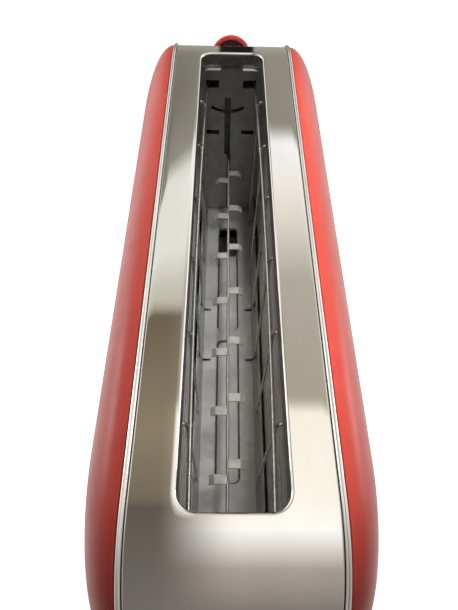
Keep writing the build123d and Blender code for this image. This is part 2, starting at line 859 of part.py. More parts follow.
def make_main_board():
    """Flat circuit board on the pan's posts, with a hole for the guide rod."""
    board = block((-main_half_width, main_half_width), main_board_spans(), (main_low, main_top))
    return board - bar(rod_r + rest_gap, (rod_x, rod_y, 0), (rod_x, rod_y, main_top + cut_over))


def core_top():
    """Top of the magnet's leg, just under the armature when the lever is down."""
    return slider_low - lever_travel - core_gap


def core_spans(length, depth):
    """Width and depth of a piece of the holding magnet."""
    return (core_x - length / 2, core_x + length / 2), (rod_y - depth / 2, rod_y + depth / 2)


def make_magnet_core():
    """Steel core of the holding magnet: a foot with one leg."""
    core = block(*core_spans(core_length, core_depth), (main_top, main_top + core_base_h))
    return core + block(*core_spans(core_leg, core_leg), (main_top, core_top()))


def make_magnet_coil():
    """Winding block round the magnet's leg."""
    low = main_top + core_base_h + coil_low_gap
    coil = block(*core_spans(coil_length, core_depth), (low, core_top() - coil_top_gap))
    hole = core_leg + 2 * screw_gap
    return coil - block(*core_spans(hole, hole), (0, top_z))


def make_armature_plate():
    """Steel plate on the slider that the holding magnet catches."""
    width, _ = core_spans(core_length, core_depth)
    face_y = slider_y + slider_t
    return block(width, (face_y, pcb_y - armature_gap), (slider_low, slider_low + armature_t))


def make_contact_block():
    """Moulded block on the main board that carries the mains contacts."""
    half = contact_w / 2
    return block((contact_x - half, contact_x + half), (contact_near, contact_near + contact_depth),
                 (main_top, main_top + contact_h))


def make_contact_springs():
    """Two brass leaves on the contact block, under the slider's finger."""
    low = main_top + contact_h
    y = slider_y + slider_t / 2
    leaves = []
    for side in (-1, 1):
        x = contact_x + side * leaf_spread / 2
        leaves.append(block((x - leaf_t / 2, x + leaf_t / 2), (y - leaf_w / 2, y + leaf_w / 2), (low, low + leaf_h)))
    return Compound(leaves)


def make_base_pan():
    """Shallow moulded pan with ribs under the shields, posts, vents and a tray gate."""
    floor_top = foot_height + pan_floor
    width = 2 * pan_half_width
    length = 2 * pan_half_length
    pan = rounded_slab(width, length, pan_corner_r, foot_height, base_z)
    pan = chamfer(pan.faces().sort_by(Axis.Z)[0].edges(), pan_edge)
    pan -= rounded_slab(width - 2 * pan_wall, length - 2 * pan_wall, pan_corner_r - pan_wall,
                        floor_top, base_z + cut_over)
    rib_end = pan_half_length - pan_wall / 2
    for rib in ((-rib_out, -rib_in), (rib_in, rib_out)):
        pan += block(rib, (-rib_end, rib_end), (foot_height + pan_floor / 2, base_z))
    for x, y in post_places():
        pan += bar(post_r, (x, y, foot_height + pan_floor / 2), (x, y, main_low))
    pan -= block((-tray_gate_half_width, tray_gate_half_width),
                 (-pan_half_length - cut_over, -pan_half_length + pan_wall + cut_over),
                 (floor_top, floor_top + tray_gate_rise))
    first_vent = -vent_pitch * (vent_count - 1) / 2
    for number in range(vent_count):
        vent = Pos(0, first_vent + number * vent_pitch, 0) * SlotOverall(vent_length, vent_w)
        pan -= extrude(vent, amount=floor_top + cut_over)
    for x, y in foot_places():
        pan -= bar(foot_peg_r + screw_gap, (x, y, 0), (x, y, floor_top + cut_over))
    for x, y in base_screw_places():
        pan -= bar(screw_r + screw_gap, (x, y, 0), (x, y, base_z + cut_over))
        pan -= bar(screw_head_r + screw_gap, (x, y, 0), (x, y, foot_height + screw_head_h))
    return pan


def foot_places():
    """Feet near the corners of the pan, as X and Y."""
    x = pan_half_width - foot_side
    y = pan_half_length - foot_end
    return [(side * x, end * y) for side in (-1, 1) for end in (-1, 1)]


def base_screw_places():
    """Screws through the pan's ribs into the shields' feet, as X and Y."""
    return [(side * base_screw_x(), y) for side in (-1, 1) for y in (-base_screw_y, base_screw_y)]


def make_feet():
    """Four rubber feet with pegs in the pan."""
    feet = []
    for x, y in foot_places():
        foot = bar(foot_r, (x, y, 0), (x, y, foot_height))
        foot = fillet(foot.faces().sort_by(Axis.Z)[0].edges(), foot_edge_r)
        feet.append(foot + bar(foot_peg_r, (x, y, foot_height), (x, y, foot_height + pan_floor)))
    return Compound(feet)


def tray_low():
    """Underside of the crumb tray, just over the pan's floor."""
    return foot_height + pan_floor + rest_gap


def make_crumb_tray():
    """Shallow steel tray, open at the top, behind its handle."""
    near = -panel_out_y + tray_handle_t
    low = tray_low()
    tray = block((-tray_half_width, tray_half_width), (near, tray_far_y), (low, low + tray_lip))
    return tray - block((-tray_half_width + tray_t, tray_half_width - tray_t), (near + tray_t, tray_far_y - tray_t),
                        (low + tray_t, top_z))


def make_tray_handle():
    """Front of the crumb tray with a grip."""
    low = tray_low()
    near = -panel_out_y + rest_gap
    handle = block((-tray_handle_half_width, tray_handle_half_width), (near, -panel_out_y + tray_handle_t),
                   (low, low + tray_handle_h))
    mid = low + tray_handle_h / 2
    grip = block((-tray_grip_half_width, tray_grip_half_width), (near - tray_grip_reach, near),
                 (mid - tray_grip_t / 2, mid + tray_grip_t / 2))
    grip = fillet(grip.edges().filter_by(Axis.X), tray_grip_r)
    return handle + grip


def make_cord_gland():
    """Bush in the rear panel where a mains lead goes in."""
    out = -panel_out_y
    gland = bar(gland_flange_r, (gland_x, out - gland_flange_t, gland_z), (gland_x, out, gland_z))
    gland = fillet(gland.faces().sort_by(Axis.Y)[0].edges(), knob_edge_r)
    gland += bar(gland_r, (gland_x, out, gland_z), (gland_x, -panel_in_y + gland_inner_t, gland_z))
    return gland - bar(gland_bore_r, (gland_x, out - gland_flange_t - cut_over, gland_z), (gland_x, 0, gland_z))


def make_terminal_block():
    """Block on the near end wall where the mains lead ends."""
    return block((gland_x - terminal_w / 2, gland_x + terminal_w / 2), (-wall_out - terminal_depth, -wall_out),
                 (terminal_low, terminal_low + terminal_h))


def make_lead(x):
    """Insulated wire from the terminal block, down and along to the contact block."""
    start = (x, -wall_out - terminal_depth / 2, terminal_low)
    corner = (start[0], start[1], lead_z)
    end = (x, contact_near, lead_z)
    path = FilletPolyline(start, corner, end, radius=lead_bend_r)
    return sweep(Plane(origin=start, z_dir=(0, 0, -1)) * Circle(lead_r), path=path)


def screw(place, direction, length):
    """Pan-head screw whose head rests at a place and whose shank runs in a direction."""
    start = Vector(*place)
    along = Vector(*direction)
    head = bar(screw_head_r, tuple(start - along * screw_head_h), tuple(start))
    return head + bar(screw_r, tuple(start), tuple(start + along * length))


def make_panel_screws():
    """Screws through both heat shields into the side panels' bosses."""
    return Compound([screw((side * shield_x, y, z), (side, 0, 0), panel_screw_length)
                     for side in (-1, 1) for y, z in boss_places()])


def make_board_screws():
    """Screws through the control board into the panel's bosses."""
    return Compound([screw((x, pcb_y, z), (0, 1, 0), board_screw_length) for x, z in pcb_screw_places()])


def make_base_screws():
    """Screws through the pan into the heat shields' feet."""
    return Compound([screw((x, y, foot_height + screw_head_h), (0, 0, 1), base_screw_length)
                     for x, y in base_screw_places()])


right_panel = make_side_panel()
right_trim = make_trim_strip()
right_shield = make_heat_shield()
right_board = make_mica_board()
right_ribbon = make_heating_ribbon()
right_cage = make_guide_cage()
pieces = {
    "base_pan": make_base_pan(),
    "feet": make_feet(),
    "left_side_panel": mirrored(right_panel),
    "right_side_panel": right_panel,
    "top_plate": make_top_plate(),
    "left_trim_strip": mirrored(right_trim),
    "right_trim_strip": right_trim,
    "control_end_panel": make_control_end_panel(),
    "rear_end_panel": make_rear_end_panel(),
    "left_heat_shield": mirrored(right_shield),
    "right_heat_shield": right_shield,
    "far_end_wall": make_far_end_wall(),
    "near_end_wall": mirror(make_end_wall(), about=Plane.XZ),
    "chamber_floor": make_chamber_floor(),
    "left_mica_board": mirrored(right_board),
    "right_mica_board": right_board,
    "left_heating_ribbon": mirrored(right_ribbon),
    "right_heating_ribbon": right_ribbon,
    "left_guide_cage": mirrored(right_cage),
    "right_guide_cage": right_cage,
    "bread_carriage": make_bread_carriage(),
    "carriage_slider": make_carriage_slider(),
    "guide_rod": make_guide_rod(),
    "guide_bracket": make_guide_bracket(),
    "lift_spring": make_lift_spring(),
    "lever_arm": make_lever_arm(),
    "lever_knob": make_lever_knob(),
    "lever_ring": make_lever_ring(),
    "main_board": make_main_board(),
    "magnet_core": make_magnet_core(),
    "magnet_coil": make_magnet_coil(),
    "armature_plate": make_armature_plate(),
    "contact_block": make_contact_block(),
    "contact_springs": make_contact_springs(),
    "control_board": make_control_board(),
    "dial_potentiometer": make_potentiometer(),
    "browning_dial": make_browning_dial(),
    "cancel_button": make_button(button_places()[0]),
    "defrost_button": make_button(button_places()[1]),
    "reheat_button": make_button(button_places()[2]),
    "button_switches": make_button_switches(),
    "crumb_tray": make_crumb_tray(),
    "crumb_tray_handle": make_tray_handle(),
    "cord_gland": make_cord_gland(),
    "terminal_block": make_terminal_block(),
    "live_lead": make_lead(gland_x - lead_spread / 2),
    "neutral_lead": make_lead(gland_x + lead_spread / 2),
    "panel_screws": make_panel_screws(),
    "board_screws": make_board_screws(),
    "base_screws": make_base_screws(),
}

lever_end = panel_out_y + knob_gap + knob_depth
tray_end = -panel_out_y + rest_gap - tray_grip_reach
middle_y = (lever_end + tray_end) / 2
os.makedirs("parts", exist_ok=True)
for name, solid in pieces.items():
    export_step(Pos(0, -middle_y, 0) * solid, "parts/%s.step" % name)
print("body stands %.3f mm towards -Y of the origin" % middle_y)
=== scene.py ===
import json
import math

import bmesh
import bpy
import numpy as np
from mathutils import Matrix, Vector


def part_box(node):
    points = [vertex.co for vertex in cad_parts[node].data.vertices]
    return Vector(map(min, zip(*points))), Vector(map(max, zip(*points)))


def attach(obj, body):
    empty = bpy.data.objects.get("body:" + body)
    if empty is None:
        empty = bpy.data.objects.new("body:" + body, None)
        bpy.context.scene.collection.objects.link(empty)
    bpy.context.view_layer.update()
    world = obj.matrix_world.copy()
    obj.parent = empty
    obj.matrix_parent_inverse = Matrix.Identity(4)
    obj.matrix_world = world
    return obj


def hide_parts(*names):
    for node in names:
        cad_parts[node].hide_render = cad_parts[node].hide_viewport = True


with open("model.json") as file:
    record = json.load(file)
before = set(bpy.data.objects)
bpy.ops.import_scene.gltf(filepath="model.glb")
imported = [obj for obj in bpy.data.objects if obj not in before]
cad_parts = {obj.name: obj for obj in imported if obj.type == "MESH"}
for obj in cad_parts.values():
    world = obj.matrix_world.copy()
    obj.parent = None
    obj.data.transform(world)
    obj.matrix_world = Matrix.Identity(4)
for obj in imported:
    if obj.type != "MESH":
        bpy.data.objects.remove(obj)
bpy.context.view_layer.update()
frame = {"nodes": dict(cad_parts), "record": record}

# Long-slot toaster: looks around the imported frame, in metres, +Y towards the lever end.
mm = 0.001
sharp_angle = math.radians(40)


def span(node, axis):
    """Lowest and highest value of a CAD node on one axis: 0 is X, 1 is Y, 2 is Z."""
    low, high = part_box(node)
    return low[axis], high[axis]


# Sizes read from the frame
trim_out = span("right_trim_strip", 0)[1]
trim_ends = span("right_trim_strip", 1)
base_z, trim_top = span("right_trim_strip", 2)
plate_half = span("top_plate", 0)[1]
plate_low, top_z = span("top_plate", 2)
mid_y = (trim_ends[0] + trim_ends[1]) / 2
trim_rise = trim_top - top_z
half_length = (trim_ends[1] - trim_ends[0]) / 2 - trim_rise

# Sizes shared with the part's source
shoulder_r = 43.2 * mm
flat_half = half_length - shoulder_r
slot_half_length = 129.0 * mm
slot_half_width = 18.5 * mm
slot_corner_r = 6.5 * mm
slot_roll_r = 1.2 * mm
slot_flange = 9.5 * mm
plate_t = 0.8 * mm
plate_flange = 4.0 * mm
panel_gap = 0.4 * mm
panel_in = trim_out + panel_gap
panel_wall = 2.6 * mm
bulge = 22.0 * mm
bulge_insets = (60.0 * mm, 52.0 * mm, 6.0 * mm)
wall_t = 1.0 * mm
chamber_far = span("far_end_wall", 1)[1] - wall_t
rail_r = 0.9 * mm
rail_bow = 2.2 * mm
wire_r = 0.8 * mm
wire_weld = 0.3 * mm
wire_bend_r = 2.5 * mm
wire_far_gap = 22.4 * mm
wire_pitch = 41.58 * mm
wire_count = 6
bar_x = -0.7 * mm
bar_t = 1.3 * mm
bar_h = 7.0 * mm
bar_top = 102.0 * mm
tab_far_gap = 15.1 * mm
tab_pitch = 36.0 * mm
tab_stagger = 7.7 * mm
tab_count = 7
tab_w = 5.0 * mm
tab_length = 9.2 * mm
tab_t = 1.0 * mm
floor_half = 17.5 * mm
wing_reach = 3.8 * mm
wing_rise = 12.0 * mm
sheet_t = 0.8 * mm
recess_w = 15.8 * mm
recess_r = 4.0 * mm
recess_depth = 2.0 * mm
recess_far_gap = 23.4 * mm
recess_length = 99.75 * mm
recess_between = 8.4 * mm
crumb_hole_length = 29.2 * mm
slit_in = 12.8 * mm
slit_out = 20.2 * mm

# Sizes of the dress alone
merge_gap = 0.002 * mm
small_gap = 0.1 * mm
plate_edge_r = 0.6 * mm
trim_depth = 4.8 * mm
trim_groove = 0.15 * mm
trim_corner_r = 0.9 * mm
panel_rim_r = 0.8 * mm
panel_foot_r = 4.0 * mm
weld_half = 0.9 * mm
weld_zone = np.linspace(-2, 2, 9) * mm
weld_swell_share = 0.28
wire_foot_gap = 0.4 * mm
strip_t = 1.7 * mm
strip_r = 0.5 * mm
tab_tip = 2.6 * mm
tab_drop = 2.4 * mm
tab_corner_r = 0.35 * mm
tab_bend_lead = 0.2 * mm
tab_bend_out = np.array((0.0, 0.15, 0.35, 0.5)) * mm
tab_bend_fall = np.array((0.0, 0.06, 0.24, 0.39)) * mm
step_w = 1.0 * mm
step_lead = 0.3 * mm
slit_half = 0.75 * mm
wire_places = chamber_far - wire_far_gap - wire_pitch * np.arange(wire_count)
# The floor has slits only at the two middle wires
slit_places = wire_places[2:4]


def cells(rows, columns, wrap, first):
    """Quads between neighbouring rows and columns of a grid of points; wrap joins the last column
    to the first."""
    across = np.arange(columns if wrap else columns - 1)
    i, j = np.meshgrid(np.arange(rows - 1), across, indexing="ij")
    k = (j + 1) % columns
    row, next_row = i * columns, (i + 1) * columns
    quads = np.stack((row + j, row + k, next_row + k, next_row + j), axis=-1)
    return first + quads.reshape(-1, 4)


def piece(name, grids, material, body, replaced=(), wall=0.0, turned=True):
    """One object from several grids of points, each with the cells it keeps if not all: doubled
    points are merged, faces turned outwards unless they already lie right, and a sheet gets its
    wall on the inside."""
    points = []
    faces = []
    count = 0
    for grid, wrap, *kept in grids:
        rows, columns = grid.shape[:2]
        points.append(grid.reshape(-1, 3))
        quads = cells(rows, columns, wrap, count)
        faces.append(quads[kept[0].ravel()] if kept else quads)
        count += rows * columns
    mesh = bpy.data.meshes.new(name)
    mesh.from_pydata(np.concatenate(points).tolist(), [], np.concatenate(faces).tolist())
    work = bmesh.new()
    work.from_mesh(mesh)
    bmesh.ops.remove_doubles(work, verts=work.verts, dist=merge_gap)
    loose = [point for point in work.verts if not point.link_faces]
    bmesh.ops.delete(work, geom=loose, context="VERTS")
    if turned:
        bmesh.ops.recalc_face_normals(work, faces=work.faces)
    work.to_mesh(mesh)
    work.free()
    mesh.shade_smooth()
    mesh.set_sharp_from_angle(angle=sharp_angle)
    made = bpy.data.objects.new(name, mesh)
    bpy.context.scene.collection.objects.link(made)
    made.data.materials.append(material)
    if wall:
        solid = made.modifiers.new("wall", "SOLIDIFY")
        solid.thickness = wall
        solid.offset = -1.0
        solid.use_even_offset = True
    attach(made, body)
    if replaced:
        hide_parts(*replaced)
    return made


def face_centres(made):
    """X, Y and Z of the middle of each face of a piece."""
    return np.array([face.center for face in made.data.polygons]).T


def lay(made, material, chosen):
    """Gives the chosen faces of a piece a second material."""
    made.data.materials.append(material)
    made.data.polygons.foreach_set("material_index", chosen.astype(np.int32))


def steps(*stops):
    """Rising values: the first stop is where they start, and each other one is an end value and the
    number of equal steps that lead to it from the one before."""
    values = [np.array([stops[0]])]
    for end, count in stops[1:]:
        values.append(np.linspace(values[-1][-1], end, count + 1)[1:])
    return np.concatenate(values)


def both_ways(half):
    """The same values on both sides of zero."""
    return np.concatenate((-half[:0:-1], half))


def circle(radius, count=12):
    """Points round a circle."""
    angle = np.linspace(0, 2 * np.pi, count, endpoint=False)
    return radius * np.stack((np.cos(angle), np.sin(angle)), axis=-1)


def rounded_oblong(width, height, radius, count=4):
    """Points round an oblong with quarter circles at its corners."""
    quarter = np.linspace(0, np.pi / 2, count + 1)
    corners = []
    for number, (u, v) in enumerate(((1, 1), (-1, 1), (-1, -1), (1, -1))):
        angle = quarter + number * np.pi / 2
        centre = np.array((u * (width / 2 - radius), v * (height / 2 - radius)))
        corners.append(centre + radius * np.stack((np.cos(angle), np.sin(angle)), axis=-1))
    return np.concatenate(corners)


def carried(path, up, section, scale=None):
    """A section carried along a path: each row is the section, set square to the path with its
    second axis near up and multiplied by scale, and the ends are closed on the path's own end
    points."""
    along = np.gradient(path, axis=0)
    along /= np.linalg.norm(along, axis=1, keepdims=True)
    side = np.cross(along, np.array(up, float))
    side /= np.linalg.norm(side, axis=1, keepdims=True)
    top = np.cross(side, along)
    size = np.ones(len(path)) if scale is None else scale
    rows = path[:, None] + size[:, None, None] * (section[None, :, :1] * side[:, None]
                                                  + section[None, :, 1:] * top[:, None])
    caps = [np.broadcast_to(path[end], rows[:1].shape) for end in (0, -1)]
    return np.concatenate((caps[0], rows, caps[1])), True


def bent(corners, radius, count=6):
    """A path through corners, each turned by a quarter circle of the given radius in the plane of
    its two runs."""
    corners = [np.array(corner, float) for corner in corners]
    path = [corners[0]]
    for before, corner, after in zip(corners, corners[1:], corners[2:]):
        back = (before - corner) / np.linalg.norm(before - corner)
        on = (after - corner) / np.linalg.norm(after - corner)
        turn = np.linspace(0, np.pi / 2, count + 1)[:, None]
        path.extend(corner + radius * (back * (1 - np.sin(turn)) + on * (1 - np.cos(turn))))
    path.append(corners[-1])
    return np.array(path)


# Materials: sRGB hex values, real sizes in millimetres, patterns on Object coordinates

def linear(code):
    """sRGB hex to linear RGBA."""
    parts = np.array([int(code[i:i + 2], 16) for i in (1, 3, 5)]) / 255
    low = parts / 12.92
    high = ((parts + 0.055) / 1.055) ** 2.4
    return (*np.where(parts <= 0.04045, low, high), 1.0)


def put(tree, kind, links, **settings):
    """Adds one node with its settings; links gives each input a socket to follow or a value."""
    made = tree.nodes.new("ShaderNode" + kind)
    for key, value in settings.items():
        setattr(made, key, value)
    for key, value in links.items():
        if isinstance(value, bpy.types.NodeSocket):
            tree.links.new(value, made.inputs[key])
        else:
            made.inputs[key].default_value = value
    return made


def finish(name, light, dark, grain, metal, rough, bump=0.0, stretch=(1, 1, 1), cell=0.0,
           **sockets):
    """A surface whose two near colours and roughness follow a noise of the given grain in
    millimetres, drawn out by stretch, with the same noise as relief of bump millimetres; cell adds
    a patchwork of that size."""
    material = bpy.data.materials.new(name)
    material.use_nodes = True
    tree = material.node_tree
    shader = tree.nodes["Principled BSDF"]
    place = put(tree, "TexCoord", {}).outputs["Object"]
    drawn = put(tree, "Mapping", {"Vector": place, "Scale": stretch}).outputs["Vector"]
    noise = put(tree, "TexNoise", {"Vector": drawn, "Scale": 1 / (grain * mm), "Detail": 5.0,
                                   "Roughness": 0.55})
    height = noise.outputs["Fac"]
    if cell:
        patch = put(tree, "TexVoronoi", {"Vector": place, "Scale": 1 / (cell * mm)})
        tone = put(tree, "SeparateColor", {"Color": patch.outputs["Color"]}).outputs["Red"]
        grain_share = 0.6
        blend = put(tree, "Math", {0: height, 1: grain_share, 2: tone}, operation="MULTIPLY_ADD")
        height = blend.outputs[0]
    low, high = (0.3, 1.3) if cell else (0.3, 0.7)
    share = put(tree, "MapRange", {"Value": height, "From Min": low, "From Max": high})
    mixed = put(tree, "Mix", {"Factor": share.outputs[0], 6: linear(dark), 7: linear(light)},
                data_type="RGBA")
    tree.links.new(mixed.outputs[2], shader.inputs["Base Color"])
    spread = put(tree, "MapRange", {"Value": share.outputs[0], "To Min": rough[1],
                                    "To Max": rough[0]})
    tree.links.new(spread.outputs[0], shader.inputs["Roughness"])
    shader.inputs["Metallic"].default_value = metal
    for key, value in sockets.items():
        shader.inputs[key.replace("_", " ").title().replace("Ior", "IOR")].default_value = value
    if bump:
        lift = put(tree, "Bump", {"Height": noise.outputs["Fac"], "Distance": bump * mm,
                                  "Strength": 1.0})
        tree.links.new(lift.outputs[0], shader.inputs["Normal"])
    return material


def paint_highlight_above(material, height, code):
    """Paints a highlight: lays a light tone over a finish from a height in millimetres upwards,
    with a soft edge.
    """
    soft_edge = 0.5
    tree = material.node_tree
    shader = tree.nodes["Principled BSDF"]
    tone = shader.inputs["Base Color"].links[0].from_socket
    place = put(tree, "SeparateXYZ", {"Vector": put(tree, "TexCoord", {}).outputs["Object"]})
    share = put(tree, "MapRange", {"Value": place.outputs["Z"], "From Min": height * mm,
                                   "From Max": (height + soft_edge) * mm})
    mixed = put(tree, "Mix", {"Factor": share.outputs[0], 6: tone, 7: linear(code)},
                data_type="RGBA")
    tree.links.new(mixed.outputs[2], shader.inputs["Base Color"])


# Polished stainless steel: a near mirror whose wiped smears spread the reflections a little
polished_steel = finish("polished_stainless_steel", "#dad9d6", "#cfcecb", grain=30.0, metal=1.0,
                        rough=(0.02, 0.05), stretch=(1, 0.35, 1))
# Rolled stainless steel, left unpolished inside the slot: a dull grey that blurs what it mirrors
rolled_steel = finish("rolled_stainless_steel", "#8f8e8b", "#7c7b78", grain=4.0, metal=1.0,
                      rough=(0.40, 0.52), bump=0.004)
# Satin stainless strip: fine lines along the strip draw highlights out across it
satin_steel = finish("satin_stainless_steel", "#dedcd8", "#c6c4c0", grain=1.2, metal=1.0,
                     rough=(0.18, 0.30), bump=0.01, stretch=(1, 0.04, 0.04))
# Moulded red ABS: soft gloss over a faint ripple from the mould
red_abs = finish("moulded_red_abs", "#ca4b3f", "#c5473c", grain=9.0, metal=0.0, rough=(0.37, 0.43),
                 bump=0.008, specular_ior_level=0.35)
# Spark-textured black ABS: dull, with a grain of about half a millimetre, drawn at 1.2 mm so that
# it shows
black_abs = finish("textured_black_abs", "#222325", "#161719", grain=1.2, metal=0.0,
                   rough=(0.46, 0.62), bump=0.05)
# Aluminised steel sheet: pale satin grey with a spangle of some millimetres and faint heat stains
chamber_steel = finish("aluminised_steel_sheet", "#adadab", "#a3a3a0", grain=14.0, metal=0.35,
                       rough=(0.36, 0.46), bump=0.006, cell=5.0)
# The chamber's sheet for the end walls, a little paler, with a painted highlight: a near-white
# band along the top, on the ledges under the plate's overhang
end_wall_steel_painted_highlight = finish("steel_sheet_painted_top_highlight", "#bdbdba", "#b0b0ac", grain=14.0, metal=0.35,
                        rough=(0.36, 0.46), bump=0.006, cell=5.0)
# Painted highlight: near white from 178.6 mm upwards, with a soft edge
paint_highlight_above(end_wall_steel_painted_highlight, height=178.6, code="#f1f0ed")
# Painted shade in the sheet's pressed steps and along the carriage bar's edges: a dull dark grey
# that draws them out as shadow lines
painted_shade_steel = finish("steel_sheet_painted_shade", "#5e5e5b", "#4e4e4b", grain=4.0, metal=0.2,
                      rough=(0.45, 0.6), bump=0.004)
# Bright drawn wire: lengthwise drawing lines, glossy
drawn_wire = finish("bright_drawn_wire", "#d2d1cd", "#b6b4af", grain=3.0, metal=0.9,
                    rough=(0.16, 0.30), bump=0.002)
# Zinc-plated strip: light grey, slightly cloudy
plated_strip = finish("zinc_plated_strip", "#b0afab", "#9c9b96", grain=6.0, metal=0.5,
                      rough=(0.26, 0.42), bump=0.006)
# Pressed mica sheet: pale brown grey with flakes a few millimetres wide
mica_sheet = finish("pressed_mica_sheet", "#d9d6cf", "#c6c2ba", grain=2.5, metal=0.1,
                    rough=(0.30, 0.45), bump=0.006, cell=3.0)
# Resistance ribbon: dull grey-brown alloy with a heat bloom
ribbon_alloy = finish("resistance_ribbon", "#c4c0b9", "#a5a099", grain=8.0, metal=0.5,
                      rough=(0.35, 0.5), bump=0.005)
# Spring wire: dark blue-grey temper colour
spring_wire = finish("tempered_spring_wire", "#8d929a", "#666b74", grain=2.0, metal=1.0,
                     rough=(0.28, 0.4), bump=0.005)
# Soft iron, plated: flat mid grey
soft_iron = finish("plated_soft_iron", "#a3a4a6", "#7e8083", grain=2.5, metal=0.9,
                   rough=(0.35, 0.5), bump=0.01)
# Phosphated steel plate: grey, fine and dull
phosphated_steel = finish("phosphated_steel", "#8d8e91", "#77787c", grain=4.0, metal=0.1,
                          rough=(0.42, 0.58), bump=0.01)
# Enamelled copper winding: wound lines across the coil
copper_winding = finish("enamelled_copper_winding", "#b5623a", "#7d3c20", grain=0.9, metal=0.8,
                        rough=(0.25, 0.4), bump=0.06, stretch=(0.06, 0.06, 1))
# Brass leaf: rolled, warm
brass_leaf = finish("rolled_brass_leaf", "#cfa95c", "#b08b42", grain=3.0, metal=1.0,
                    rough=(0.22, 0.36), bump=0.005)
# Circuit board: green solder mask over tracks that show as a patchwork
circuit_board = finish("solder_masked_board", "#2c6a3c", "#1d4a2a", grain=2.0, metal=0.0,
                       rough=(0.3, 0.45), bump=0.02, cell=4.0)
# Moulded switch body: dark grey, slightly shiny
switch_plastic = finish("moulded_switch_body", "#3a3b3d", "#2b2c2e", grain=1.5, metal=0.0,
                        rough=(0.4, 0.55), bump=0.02)
# Moulded rubber: matt black with dust in its grain
foot_rubber = finish("moulded_rubber", "#2b2b2b", "#1c1c1c", grain=1.0, metal=0.0,
                     rough=(0.7, 0.85), bump=0.04)
# Silicone wire insulation: dull brown sleeve
lead_sleeve = finish("silicone_wire_sleeve", "#5a4a40", "#43362e", grain=1.5, metal=0.0,
                     rough=(0.5, 0.65), bump=0.02)
# Zinc-plated screw: bright, with a cast of yellow
screw_zinc = finish("zinc_plated_screw", "#c7c4b8", "#9c998e", grain=1.5, metal=1.0,
                    rough=(0.25, 0.4), bump=0.01)
# Pad-printed ink: flat white, a little uneven where it lies on the plastic's grain
printed_ink = finish("pad_printed_ink", "#e9e8e4", "#d6d5d0", grain=1.0, metal=0.0,
                     rough=(0.5, 0.65), bump=0.004)

slot_finish = {
    "polished_steel": polished_steel, "trim_steel": satin_steel, "red_plastic": red_abs,
    "black_plastic": black_abs, "chamber_steel": chamber_steel, "wire_steel": drawn_wire,
    "carriage_steel": plated_strip, "blackened_steel": phosphated_steel, "mica": mica_sheet,
    "ribbon_alloy": ribbon_alloy, "spring_steel": spring_wire, "magnet_steel": soft_iron,
    "copper_winding": copper_winding, "contact_brass": brass_leaf,
    "circuit_board": circuit_board, "switch_plastic": switch_plastic,
    "foot_rubber": foot_rubber, "lead_insulation": lead_sleeve, "screw_steel": screw_zinc,
}
for subpart in frame["record"]["subparts"]:
    for place in frame["nodes"][subpart["node"]].material_slots:
        place.material = slot_finish[subpart["material_slot"]]
# The end walls take the sheet with the painted highlight along the top
for name in ("far_end_wall", "near_end_wall"):
    for place in frame["nodes"][name].material_slots:
        place.material = end_wall_steel_painted_highlight


# Top plate

def over_the_top(w, s, n):
    """Unrolled sheet to space: w across, s along from the middle, n out of the sheet. Along, it
    lies flat as far as flat_half and then turns round a shoulder of radius shoulder_r."""
    turn = np.maximum(np.abs(s) - flat_half, 0) / shoulder_r
    reach = np.minimum(np.abs(s), flat_half) + (shoulder_r + n) * np.sin(turn)
    height = top_z - shoulder_r + (shoulder_r + n) * np.cos(turn)
    return np.stack((w, mid_y + np.sign(s) * reach, height), axis=-1)


def rolled_sheet(w, s):
    """Grid of the sheet over rising w and s: across, flat to the edge roll, a quarter turn, then
    down."""
    s, w = np.meshgrid(s, w, indexing="ij")
    past = np.maximum(np.abs(w) - plate_half + plate_edge_r, 0)
    turn = np.minimum(past / plate_edge_r, np.pi / 2)
    drop = np.maximum(past - plate_edge_r * np.pi / 2, 0)
    x = np.minimum(np.abs(w), plate_half - plate_edge_r) + plate_edge_r * np.sin(turn)
    return over_the_top(np.sign(w) * x, s, -plate_edge_r * (1 - np.cos(turn)) - drop), False


def quarters(corner):
    """One quarter of a loop, from the X axis to the Y axis, mirrored round to the whole loop."""
    back = corner[::-1]
    turns = (corner, back * (-1, 1), -corner, back * (1, -1))
    return np.concatenate([turn[:-1] for turn in turns])


